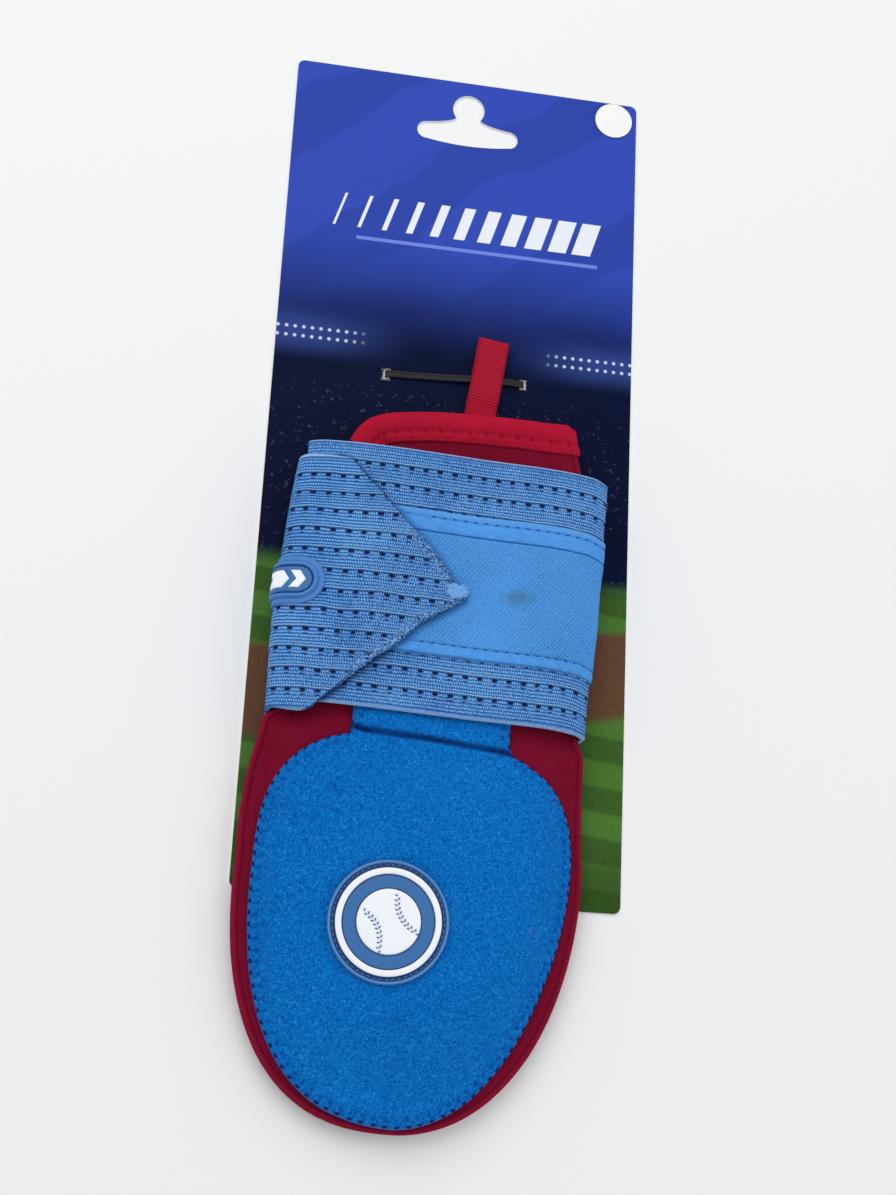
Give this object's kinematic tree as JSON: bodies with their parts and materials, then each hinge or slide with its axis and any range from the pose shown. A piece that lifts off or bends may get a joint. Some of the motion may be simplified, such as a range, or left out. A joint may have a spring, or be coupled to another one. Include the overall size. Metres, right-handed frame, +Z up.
{
  "type": "sliding mitt on a plain hang card",
  "caption": "Padded sliding mitt with an open hand pocket, a wound wrist strap with a pointed end and a fleece shield, tied flat on a plain hang card.",
  "frame": {"origin": "middle of the hang card's underside, on the surface that it lies on", "axes": "+Y along the card towards its hang hole, +X across the card to the right as seen from above, +Z up"},
  "size_m": [0.127, 0.3713, 0.0232],
  "materials": {
    "card_board": "coated paper board, satin",
    "sticker_paper": "satin",
    "black_tie": "satin",
    "red_webbing": "ribbed webbing",
    "red_cloth": "fine knit",
    "hem_cloth": "fine knit",
    "blue_fleece": "short fleece",
    "blue_elastic": "ribbed knit",
    "blue_loop_pile": "brushed loop pile",
    "blue_rubber": "satin",
    "white_rubber": "satin",
    "pale_melt": "melted, satin"
  },
  "bodies": {
    "root": {"card": "card_board", "card_sticker": "sticker_paper", "card_tie": "black_tie", "pull_loop": "red_webbing", "back_panel": "red_cloth", "cuff_hem": "hem_cloth", "front_panel": "red_cloth", "hand_shield": "blue_fleece", "badge": "blue_rubber", "badge_ring": "white_rubber", "badge_ball": "white_rubber", "wrist_strap": "blue_elastic", "loop_patch": "blue_loop_pile", "grip_tab": "blue_rubber", "grip_mark_1": "white_rubber", "grip_mark_2": "white_rubber", "tip_weld": "pale_melt"}
  },
  "joints": []
}
